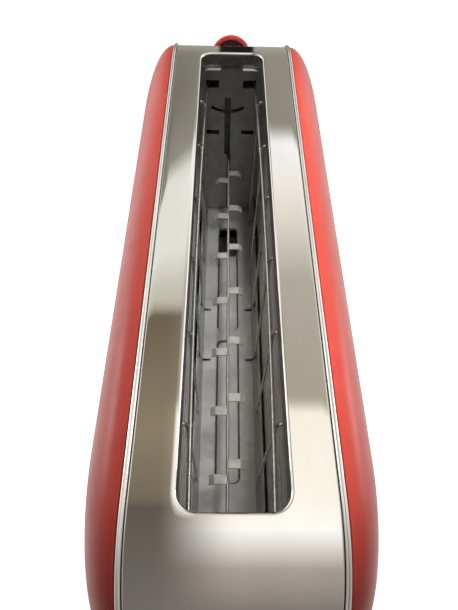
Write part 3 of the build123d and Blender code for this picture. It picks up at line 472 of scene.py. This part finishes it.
def make_top_plate():
    """Sheet with one long slot: four strips of the unrolled sheet round a frame, and inside the
    frame a ring that runs from the frame to the slot's contour, rolls over by a quarter circle and
    goes down as a flange, which has the rolled finish."""
    frame_w = 24.0 * mm
    frame_s = 135.5 * mm
    side_s = slot_half_length - slot_corner_r
    end_w = slot_half_width - slot_corner_r
    end_s = flat_half + shoulder_r * math.acos(1 - (top_z - plate_low) / shoulder_r)
    roll_w = plate_half - plate_edge_r
    s_in = steps(0, (side_s, 24), (flat_half, 1), (frame_s, 5))
    w_in = steps(0, (end_w, 3), (frame_w, 5))
    s_out = steps(frame_s, (end_s, 20))
    roll_end = roll_w + plate_edge_r * np.pi / 2
    w_out = steps(frame_w, (roll_w, 4), (roll_end, 6), (plate_half + plate_flange, 2))
    s_all = both_ways(np.concatenate((s_in, s_out[1:])))
    strips = [rolled_sheet(w_out, s_all), rolled_sheet(-w_out[::-1], s_all),
              rolled_sheet(both_ways(w_in), s_out), rolled_sheet(both_ways(w_in), -s_out[::-1])]
    beside = np.stack((np.full(len(s_in), frame_w), s_in), axis=-1)
    beyond = np.stack((w_in[::-1], np.full(len(w_in), frame_s)), axis=-1)[1:]
    border = np.concatenate((beside, beyond))
    on_side = (border[:, 0] == frame_w) & (border[:, 1] <= side_s)
    on_end = (border[:, 1] == frame_s) & (border[:, 0] <= end_w)
    turning = ~on_side & ~on_end
    turn = np.where(on_end, np.pi / 2, 0.0)
    turn[turning] = np.linspace(0, np.pi / 2, turning.sum() + 2)[1:-1]
    out = np.stack((np.cos(turn), np.sin(turn)), axis=-1)
    contour = np.where(turning[:, None], np.array((end_w, side_s)) + slot_corner_r * out, border)
    contour[on_side, 0] = slot_half_width
    contour[on_end, 1] = slot_half_length
    border, contour, out = quarters(border), quarters(contour), quarters(out)
    rows = []
    for share in np.linspace(0, 1, 5):
        plan = border * (1 - share) + (contour + out * slot_roll_r) * share
        rows.append(over_the_top(plan[:, 0], plan[:, 1], 0.0))
    for angle in np.linspace(0, np.pi / 2, 8)[1:]:
        plan = contour + out * slot_roll_r * (1 - np.sin(angle))
        drop = slot_roll_r * (1 - np.cos(angle))
        rows.append(over_the_top(plan[:, 0], plan[:, 1], 0.0) - (0, 0, drop))
    for depth in np.linspace(slot_roll_r, slot_flange, 4)[1:]:
        rows.append(over_the_top(contour[:, 0], contour[:, 1], 0.0) - (0, 0, depth))
    ring = (np.array(rows), True)
    plate = piece("polished_top_plate", strips + [ring], polished_steel, "chassis",
                  ["top_plate"], plate_t)
    x, y, z = face_centres(plate)
    in_slot = (np.abs(x) < slot_half_width + small_gap) & (z < top_z - slot_roll_r)
    lay(plate, rolled_steel, in_slot & (np.abs(y - mid_y) < slot_half_length + small_gap))


def loaf_path():
    """Side outline of the body from foot to foot over the top: two uprights, two shoulders and the
    flat."""
    turn = np.linspace(0, np.pi / 2, 25)
    shoulder_z = top_z - shoulder_r
    shoulder = np.stack((flat_half + shoulder_r * np.sin(turn),
                         shoulder_z + shoulder_r * np.cos(turn)), axis=-1)
    down = np.linspace(shoulder_z, base_z, 9)[1:]
    upright = np.stack((np.full(len(down), half_length), down), axis=-1)
    level = np.linspace(0, flat_half, 13)[:-1]
    flat = np.stack((level, np.full(len(level), top_z)), axis=-1)
    half = np.concatenate((flat, shoulder, upright))
    whole = np.concatenate((half[:0:-1] * (-1, 1), half))
    return np.stack((np.zeros(len(whole)), mid_y + whole[:, 0], whole[:, 1]), axis=-1)


def make_trim(side, name):
    """Rounded band section carried along the loaf outline, standing proud of the plate."""
    inner = plate_half + trim_groove
    section = rounded_oblong(trim_rise + trim_depth, trim_out - inner, trim_corner_r)
    section += ((trim_depth - trim_rise) / 2, 0)
    path = loaf_path() + (side * (inner + trim_out) / 2, 0, 0)
    piece(name + "_trim_band", [carried(path, (1, 0, 0), section)], satin_steel, "chassis",
          [name + "_trim_strip"])


def make_side_panel(side, name):
    """Loaf outlines drawn in along a quarter ellipse as the panel stands out from its rim, then
    shrunk to the middle over the flat cap; the rim has a small round, and the foot's corners
    too."""
    rim = np.linspace(0, np.pi / 2, 5)[:-1]
    turn = np.linspace(math.asin(panel_rim_r / bulge), np.pi / 2, 26)
    fall = np.concatenate((np.zeros(len(rim)), 1 - np.cos(turn)))[:, None]
    lip = np.concatenate((panel_rim_r * (1 - np.sin(rim)), np.zeros(len(turn))))[:, None]
    out = panel_in + np.concatenate((panel_rim_r * (1 - np.cos(rim)), bulge * np.sin(turn)))
    top_inset, end_inset, foot_inset = bulge_insets
    half = half_length - lip - end_inset * fall
    high = top_z - lip - top_inset * fall
    low = base_z + lip + foot_inset * fall
    up = np.linspace(0, 1, 20)
    along = np.linspace(-1, 1, 60)
    arc = np.linspace(0, np.pi / 2, 20)
    foot = np.linspace(0, np.pi / 2, 6)
    runs = (
        (-1, up, shoulder_r, -1, 0),
        (-1, 1, shoulder_r, -np.cos(arc), np.sin(arc)),
        (along, 1, shoulder_r, 0, 1),
        (1, 1, shoulder_r, np.sin(arc), np.cos(arc)),
        (1, up[::-1], shoulder_r, 1, 0),
        (1, 0, panel_foot_r, np.cos(foot), -np.sin(foot)),
        (along[::-1], 0, panel_foot_r, 0, -1),
        (-1, 0, panel_foot_r, -np.sin(foot), -np.cos(foot)),
    )
    outline = np.concatenate([np.stack(np.broadcast_arrays(*run)) for run in runs], axis=1)
    across, upward, radius, over, above = outline
    y = mid_y + across * (half - radius) + radius * over
    z = low + panel_foot_r + (high - shoulder_r - low - panel_foot_r) * upward + radius * above
    rows = np.stack((np.broadcast_to(side * out[:, None], y.shape), y, z), axis=-1)
    cap = rows[-1]
    middle = np.array((cap[0, 0], mid_y, (cap[:, 2].min() + cap[:, 2].max()) / 2))
    caps = [middle + (cap - middle) * share for share in (0.8, 0.5, 0.2, 0.0)]
    shell = (np.concatenate((rows, caps)), True)
    piece(name + "_bulging_panel", [shell], red_abs, "chassis",
          [name + "_side_panel"], panel_wall)


# Chamber: guide cages, bread carriage and floor

def wing_height(aside):
    """Height of the chamber floor's top, recesses aside: flat, then rising along a straight
    wing."""
    flat_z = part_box("chamber_floor")[1].z - wing_rise
    return flat_z + np.maximum(aside - floor_half, 0) * wing_rise / wing_reach


def make_guide_cage(side, name):
    """A rail along the chamber, bowed outwards as a parabola and swelling where each wire is welded
    on, and upright wires whose tops bend outwards: round sections carried along a curve and along
    bent paths. The wires at the floor's slits reach through it, the others end just above it."""
    low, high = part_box(name + "_guide_cage")
    inner = min(abs(low.x), abs(high.x))
    outer = max(abs(low.x), abs(high.x))
    rail_x = inner + rail_r
    wire_x = rail_x + rail_r + wire_r - wire_weld
    arm_z = high.z - wire_r
    rail_z = arm_z - wire_bend_r
    near_welds = (wire_places[:, None] + weld_zone).ravel()
    y = np.unique(np.concatenate((np.linspace(low.y, high.y, 40), near_welds)))
    bow = rail_bow * (1 - ((y - mid_y) / (high.y - mid_y)) ** 2)
    weld = np.exp(-((y[:, None] - wire_places) / weld_half) ** 2).sum(axis=1)
    rail = np.stack((side * (rail_x + bow), y, np.full(len(y), rail_z)), axis=-1)
    grids = [carried(rail, (0, 0, 1), circle(rail_r), 1 + weld_swell_share * weld)]
    for place in wire_places:
        x = side * (wire_x + rail_bow * (1 - ((place - mid_y) / (high.y - mid_y)) ** 2))
        foot_z = low.z if place in slit_places else wing_height(abs(x) + wire_r) + wire_foot_gap
        corners = [(x, place, foot_z), (x, place, arm_z), (side * outer, place, arm_z)]
        grids.append(carried(bent(corners, wire_bend_r), (0, 1, 0), circle(wire_r)))
    piece(name + "_wire_guide", grids, drawn_wire, name + "_cage",
          [name + "_guide_cage"])


def make_bread_carriage():
    """Rounded bar section carried along the chamber, and tabs: a flat section carried out from the
    bar and down a slope, to the right and left in turn. The bar's edges get painted shade: dark
    grey lines along both sides."""
    low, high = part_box("bread_carriage")
    strip = rounded_oblong(bar_h, strip_t, strip_r)
    middle = bar_top - bar_h / 2
    grids = [carried(np.array([(bar_x, low.y, middle), (bar_x, high.y, middle)]), (1, 0, 0), strip)]
    flat = rounded_oblong(tab_t, tab_w, tab_corner_r)
    for number in range(tab_count):
        for side, first in ((1, tab_far_gap), (-1, tab_far_gap + tab_stagger)):
            y = chamber_far - first - number * tab_pitch
            tip = bar_x + side * (bar_t / 2 + tab_length - tab_t / 2)
            level = bar_top - tab_t / 2
            bend = tip - side * tab_tip
            reach = np.concatenate(([bar_x, bend - side * tab_bend_lead],
                                    bend + side * tab_bend_out, [tip]))
            height = np.concatenate(([level, level], level - tab_bend_fall, [level - tab_drop]))
            path = np.stack((reach, np.full(len(reach), y), height), axis=-1)
            grids.append(carried(path, (0, 1, 0), flat))
    made = piece("tabbed_carriage", grids, plated_strip, "carriage",
                 ["bread_carriage"])
    aside = np.abs(face_centres(made)[0] - bar_x)
    # Painted shade: the bar's side faces take the dark grey, as shadow lines along both sides
    lay(made, painted_shade_steel, (aside > strip_t / 2 - strip_r) & (aside < strip_t / 2 + small_gap))


def outside_by(x, y, middle, half_w, half_l, radius):
    """How far points lie outside a rounded oblong, and below zero how far inside."""
    over_x = np.abs(x) - half_w + radius
    over_y = np.abs(y - middle) - half_l + radius
    corner = np.hypot(np.maximum(over_x, 0), np.maximum(over_y, 0))
    return corner + np.minimum(np.maximum(over_x, over_y), 0) - radius


def make_chamber_floor():
    """Pressed sheet as heights over a plan: flat, rising along both wings, and sinking by a smooth
    step across the outline of each recess. Cells in the crumb hole and the wire slits are left out,
    and the points round the hole are drawn onto its outline. The recesses' steps get painted
    shade: a dark grey for the shadow in them."""
    low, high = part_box("chamber_floor")
    far = chamber_far - recess_far_gap
    pitch = recess_length + recess_between
    hole = (far - (crumb_hole_length + step_w) / 2, recess_w / 2 - step_w,
            (crumb_hole_length - step_w) / 2, recess_r - step_w)
    fine_w = recess_w / 2 + step_w + step_lead
    fine_ends = np.linspace(-6, 6, 41) * mm
    ends = far - np.array((0, crumb_hole_length, recess_length, pitch, pitch + recess_length))
    slits = np.concatenate((slit_places - slit_half, slit_places + slit_half))
    near_ends = (ends[:, None] + fine_ends).ravel()
    y = np.unique(np.concatenate((np.linspace(low.y, high.y, 70), near_ends, slits)))
    x = both_ways(steps(0, (fine_w, 31), (slit_in, 3), (floor_half, 2), (slit_out, 2), (high.x, 1)))
    x, y = np.meshgrid(x, y)
    cell_x = (x[1:, 1:] + x[:-1, :-1]) / 2
    cell_y = (y[1:, 1:] + y[:-1, :-1]) / 2
    in_hole = outside_by(cell_x, cell_y, *hole) < 0
    along = np.abs(cell_y - slit_places[:, None, None]).min(axis=0)
    in_slit = (np.abs(cell_x) > slit_in) & (np.abs(cell_x) < slit_out) & (along < slit_half)
    padded = np.pad(in_hole, 1).astype(int)
    round_point = padded[1:, 1:] + padded[:-1, 1:] + padded[1:, :-1] + padded[:-1, :-1]
    rim = (round_point > 0) & (round_point < 4)
    nudge = 0.001 * mm
    gap = outside_by(x, y, *hole)
    slope_x = (outside_by(x + nudge, y, *hole) - gap) / nudge
    slope_y = (outside_by(x, y + nudge, *hole) - gap) / nudge
    x, y = np.where(rim, x - gap * slope_x, x), np.where(rim, y - gap * slope_y, y)
    z = wing_height(np.abs(x))
    middles = (far - recess_length / 2, far - pitch - recess_length / 2)
    for middle in middles:
        gap = outside_by(x, y, middle, recess_w / 2, recess_length / 2, recess_r)
        share = np.clip((step_lead - gap) / (step_lead + step_w), 0, 1)
        z = z - recess_depth * share ** 2 * (3 - 2 * share)
    sheet = (np.stack((x, y, z), axis=-1), False, ~(in_hole | in_slit))
    made = piece("stamped_chamber_floor", [sheet], chamber_steel, "chassis",
                 ["chamber_floor"], sheet_t, turned=False)
    x, y = face_centres(made)[:2]
    gaps = [outside_by(x, y, middle, recess_w / 2, recess_length / 2, recess_r)
            for middle in middles]
    gap = np.minimum(*gaps)
    # Painted shade: the cells on each recess's step take the dark grey, as the shadow in the step
    lay(made, painted_shade_steel, (gap > -step_w) & (gap < small_gap))


# Printed signs on the lever end

def make_signs(name, strokes, letters, y, body):
    """Printed marks on a face that looks towards +Y: strokes are paths in X and Z with a width,
    drawn as a thin flat section carried along them; letters are texts with a height and a place,
    turned to face +Y."""
    ink = 0.06 * mm
    grids = []
    for path, width in strokes:
        points = np.array(path) * mm
        path = np.stack((points[:, 0], np.full(len(points), y), points[:, 1]), axis=-1)
        grids.append(carried(path, (0, 1, 0), rounded_oblong(width * mm, 2 * ink, ink / 2, 2)))
    made = piece(name, grids, printed_ink, body)
    work = bmesh.new()
    work.from_mesh(made.data)
    for text, height, (x, z) in letters:
        curve = bpy.data.curves.new(name + text, "FONT")
        curve.body = text
        curve.size = height * mm
        curve.align_x, curve.align_y = "CENTER", "CENTER"
        curve.extrude = ink
        writing = bpy.data.objects.new(name + text, curve)
        bpy.context.scene.collection.objects.link(writing)
        graph = bpy.context.evaluated_depsgraph_get()
        flat = bpy.data.meshes.new_from_object(writing.evaluated_get(graph))
        flat.transform(Matrix(((-1, 0, 0, x * mm), (0, 0, 1, y), (0, 1, 0, z * mm), (0, 0, 0, 1))))
        work.from_mesh(flat)
        bpy.data.objects.remove(writing)
    work.to_mesh(made.data)
    work.free()


def make_lever_end_signs():
    """Numbers and ticks round the dial, evenly over its turn, the line on its mark, and a sign on
    each button: a cross, a six-armed star and three waves. All sizes here are in millimetres."""
    front = mid_y + half_length
    dial_low, dial_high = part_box("browning_dial")
    dial_z = (dial_low.z + dial_high.z) / 2 / mm
    dial_r = (dial_high.x - dial_low.x) / 2 / mm
    tick_from, tick_to, tick_w = dial_r + 1.6, dial_r + 3.4, 0.6
    number_out, number_h = dial_r + 6.6, 4.4
    line_from, line_to, line_w = dial_z + dial_r * 0.42, dial_z + dial_r * 0.82, 1.0
    dial_turn, number_count = 135, 7
    turns = np.radians(np.linspace(-dial_turn, dial_turn, number_count))
    round_dial = np.stack((-np.sin(turns), np.cos(turns)), axis=-1)
    ticks = [([(x * r, dial_z + z * r) for r in (tick_from, tick_to)], tick_w)
             for x, z in round_dial]
    numbers = [(str(number + 1), number_h, (x * number_out, dial_z + z * number_out))
               for number, (x, z) in enumerate(round_dial)]
    make_signs("printed_dial_scale", ticks, numbers, front, "chassis")
    pointer = [([(0, line_from), (0, line_to)], line_w)]
    make_signs("printed_dial_line", pointer, [], dial_high.y, "dial")
    cross, cross_w = 1.6, 0.55
    arm, thin_w = 2.2, 0.45
    wave_out, wave_up, wave_gap = 0.4, 2.0, 1.6
    wave = np.linspace(0, 2 * np.pi, 17)
    waves = np.stack((wave_out * np.sin(wave), (wave / np.pi - 1) * wave_up), axis=-1)
    tips = [np.array((math.sin(turn), math.cos(turn))) * arm for turn in np.radians((0, 60, 120))]
    signs = {
        "cancel": [([(-cross, -cross * way), (cross, cross * way)], cross_w) for way in (1, -1)],
        "defrost": [([-tip, tip], thin_w) for tip in tips],
        "reheat": [(waves + (place, 0), thin_w) for place in (-wave_gap, 0, wave_gap)],
    }
    for name, strokes in signs.items():
        low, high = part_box(name + "_button")
        centre = np.array(((low.x + high.x) / 2, (low.z + high.z) / 2)) / mm
        moved = [(np.array(path) + centre, width) for path, width in strokes]
        make_signs("printed_" + name + "_sign", moved, [], high.y, name + "_key")


make_top_plate()
make_chamber_floor()
make_lever_end_signs()
for side, name in ((-1, "left"), (1, "right")):
    make_trim(side, name)
    make_side_panel(side, name)
    make_guide_cage(side, name)
make_bread_carriage()


# Floor, light and camera

def make_floor():
    """Wide pale floor under the feet."""
    half = 4.0
    corners = [(-half, -half, 0), (half, -half, 0), (half, half, 0), (-half, half, 0)]
    mesh = bpy.data.meshes.new("floor")
    mesh.from_pydata(corners, [], [(0, 1, 2, 3)])
    floor = bpy.data.objects.new("floor", mesh)
    bpy.context.scene.collection.objects.link(floor)
    # Backlit white acrylic: near white, faintly mottled, with a glow of its own
    mesh.materials.append(finish("backlit_white_acrylic", "#f6f5f3", "#f1f0ee", grain=60.0,
                                 metal=0.0, rough=(0.8, 0.9), emission_color=linear("#ffffff"),
                                 emission_strength=0.95))
    floor.visible_glossy = False
    floor.visible_diffuse = False


def make_light(name, place, aim, size, power, tint, mirrored, spread=180):
    """An oblong soft light at a place, turned towards a point, with its beam's spread in degrees;
    mirrored says if polished surfaces show it."""
    lamp = bpy.data.lights.new(name, "AREA")
    lamp.energy = power
    lamp.shape = "RECTANGLE"
    lamp.size, lamp.size_y = size
    lamp.spread = math.radians(spread)
    lamp.color = linear(tint)[:3]
    light = bpy.data.objects.new(name, lamp)
    bpy.context.scene.collection.objects.link(light)
    away = np.array(place, float) - np.array(aim, float)
    away /= np.linalg.norm(away)
    nearly_along = (0.0, 1.0, 0.01)
    right = np.cross(nearly_along, away)
    right /= np.linalg.norm(right)
    turned = np.stack((right, np.cross(away, right), away), axis=1)
    light.matrix_world = Matrix.Translation(place) @ Matrix(turned.tolist()).to_4x4()
    light.visible_glossy = mirrored


def make_surroundings():
    """Studio surroundings as a drum about the X axis, for reflections: the turn from the lever
    end's horizon, 0, over the top, 0.5, to the tray end's horizon, 1, picks the tone, warm on the
    left and bright on the right; on the left a share of the way out is taken off the turn, less and
    less towards the top. Far out to either side the drum is pale, most at the lever end, a black
    flag stands behind the lever, and the lower half mirrors the upper one. Everything else sees an
    even pale sky, and the camera a white backdrop."""
    left_tones = ((0.0, "#8f8b82"), (0.16, "#76726a"), (0.195, "#8d8b84"), (0.207, "#dedfd9"),
                  (0.275, "#e2e2dc"), (0.323, "#bdb8aa"), (0.332, "#6c614f"), (0.41, "#8a7d69"),
                  (0.49, "#5e584f"), (1.0, "#6e6a66"))
    right_tones = ((0.0, "#9a968c"), (0.205, "#8f8a7e"), (0.214, "#fafafa"), (0.262, "#dfdad0"),
                   (0.305, "#b0aba0"), (0.389, "#aca294"), (0.398, "#fbf4e6"), (0.59, "#fffdfa"),
                   (0.78, "#a89e96"), (1.0, "#7e7874"))
    flag_x = 0.022
    world = bpy.data.worlds.new("studio")
    bpy.context.scene.world = world
    world.use_nodes = True
    tree = world.node_tree
    way = put(tree, "SeparateXYZ", {"Vector": put(tree, "TexCoord", {}).outputs["Generated"]})
    level = put(tree, "Math", {0: way.outputs["Z"]}, operation="ABSOLUTE")
    angle = put(tree, "Math", {0: level.outputs[0], 1: way.outputs["Y"]}, operation="ARCTAN2")
    turn = put(tree, "Math", {0: angle.outputs[0], 1: 1 / math.pi}, operation="MULTIPLY")
    aside = put(tree, "Math", {0: way.outputs["X"]}, operation="ABSOLUTE")
    left = put(tree, "MapRange", {"Value": way.outputs["X"], "From Min": 0.0, "From Max": -1.0})
    slant = put(tree, "MapRange", {"Value": turn.outputs[0], "From Min": 0.24, "From Max": 0.31,
                                   "To Min": -0.3, "To Max": 0.0})
    slanted = put(tree, "Math", {0: left.outputs[0], 1: slant.outputs[0], 2: turn.outputs[0]},
                  operation="MULTIPLY_ADD")
    tones = []
    for stops in (left_tones, right_tones):
        ramp = put(tree, "ValToRGB", {"Fac": slanted.outputs[0]})
        marks = ramp.color_ramp.elements
        ready = len(marks)
        for number, (stop, code) in enumerate(stops):
            mark = marks[number] if number < ready else marks.new(stop)
            mark.position = stop
            mark.color = linear(code)
        tones.append(ramp.outputs["Color"])
    half = put(tree, "MapRange", {"Value": way.outputs["X"], "From Min": -0.13, "From Max": 0.05},
               interpolation_type="SMOOTHSTEP")
    drum = put(tree, "Mix", {"Factor": half.outputs[0], 6: tones[0], 7: tones[1]}, data_type="RGBA")
    far_out = put(tree, "MapRange", {"Value": aside.outputs[0], "From Min": 0.3, "From Max": 0.5},
                  interpolation_type="SMOOTHSTEP")
    ahead = put(tree, "MapRange", {"Value": way.outputs["Y"], "From Min": -0.5, "From Max": 0.35})
    pale = put(tree, "Mix", {"Factor": ahead.outputs[0], 6: linear("#a8a5a1"),
                             7: linear("#fdfcfa")}, data_type="RGBA")
    whole = put(tree, "Mix", {"Factor": far_out.outputs[0], 6: drum.outputs[2], 7: pale.outputs[2]},
                data_type="RGBA")
    off = put(tree, "Math", {0: way.outputs["X"], 1: flag_x}, operation="SUBTRACT")
    beside = put(tree, "Math", {0: off.outputs[0]}, operation="ABSOLUTE")
    flag_w = put(tree, "MapRange", {"Value": beside.outputs[0], "From Min": 0.03, "From Max": 0.036,
                                    "To Min": 1.0, "To Max": 0.0})
    flag_h = put(tree, "MapRange", {"Value": turn.outputs[0], "From Min": 0.11, "From Max": 0.125,
                                    "To Min": 1.0, "To Max": 0.0})
    flag = put(tree, "Math", {0: flag_w.outputs[0], 1: flag_h.outputs[0]}, operation="MULTIPLY")
    flagged = put(tree, "Mix", {"Factor": flag.outputs[0], 6: whole.outputs[2],
                                7: linear("#1c1b1a")}, data_type="RGBA")
    ray = put(tree, "LightPath", {})
    mirrored = put(tree, "Background", {"Color": flagged.outputs[2], "Strength": 1.5})
    sky = put(tree, "Background", {"Color": linear("#f4f3f1"), "Strength": 0.1})
    backdrop = put(tree, "Background", {"Color": linear("#ffffff"), "Strength": 1.0})
    lit = put(tree, "MixShader", {0: ray.outputs["Is Glossy Ray"], 1: sky.outputs[0],
                                  2: mirrored.outputs[0]})
    seen = put(tree, "MixShader", {0: ray.outputs["Is Camera Ray"], 1: lit.outputs[0],
                                   2: backdrop.outputs[0]})
    tree.links.new(seen.outputs[0], tree.nodes["World Output"].inputs["Surface"])


def make_camera():
    """Camera at the photograph's place: pitch below the horizon, heading turned towards +X, and
    roll."""
    pitch, heading, roll = np.radians((58.32, 1.63, 2.0))
    place = (-0.00438, mid_y - 0.14886, 0.3463)
    sensor = 36.0
    focal_share = 455.0 / 610.0
    level = math.cos(pitch)
    ahead = np.array((math.sin(heading) * level, math.cos(heading) * level, -math.sin(pitch)))
    right = np.array((math.cos(heading), -math.sin(heading), 0.0))
    up = np.cross(right, ahead)
    tilted = math.cos(roll) * right + math.sin(roll) * up
    upright = math.cos(roll) * up - math.sin(roll) * right
    lens = bpy.data.cameras.new("camera")
    lens.sensor_width = sensor
    lens.lens = focal_share * sensor
    lens.clip_start = 0.01
    camera = bpy.data.objects.new("camera", lens)
    bpy.context.scene.collection.objects.link(camera)
    turned = np.stack((tilted, upright, -ahead), axis=1)
    camera.matrix_world = Matrix.Translation(place) @ Matrix(turned.tolist()).to_4x4()
    bpy.context.scene.camera = camera


make_floor()
make_surroundings()
make_light("far_softbox", place=(-0.10, 0.32, 0.62), aim=(0, 0.055, 0.17), size=(0.30, 0.30),
           power=0.21, tint="#fffaf2", mirrored=False, spread=40)
make_light("slot_strip", place=(0.034, mid_y, 0.42), aim=(0, mid_y, 0.05), size=(0.03, 0.25),
           power=0.09, tint="#ffffff", mirrored=False, spread=30)
make_light("crumb_hole_beam", place=(0, -0.15, 0.42), aim=(0, 0.09, 0.048), size=(0.02, 0.02),
           power=0.0004, tint="#ffffff", mirrored=False, spread=8)
make_light("lever_beam", place=(0, -0.1, 0.6), aim=(0, 0.17, 0.172), size=(0.02, 0.02),
           power=0.0014, tint="#ffffff", mirrored=False, spread=5)
make_light("left_softbox", place=(-0.9, 0.22, 0.14), aim=(-0.058, 0.04, 0.08), size=(0.30, 0.30),
           power=0.14, tint="#ffffff", mirrored=True, spread=44)
make_light("right_softbox", place=(0.9, 0.22, 0.14), aim=(0.058, 0.04, 0.08), size=(0.30, 0.30),
           power=0.14, tint="#ffffff", mirrored=True, spread=44)
make_camera()
bpy.context.scene.view_settings.view_transform = "Standard"
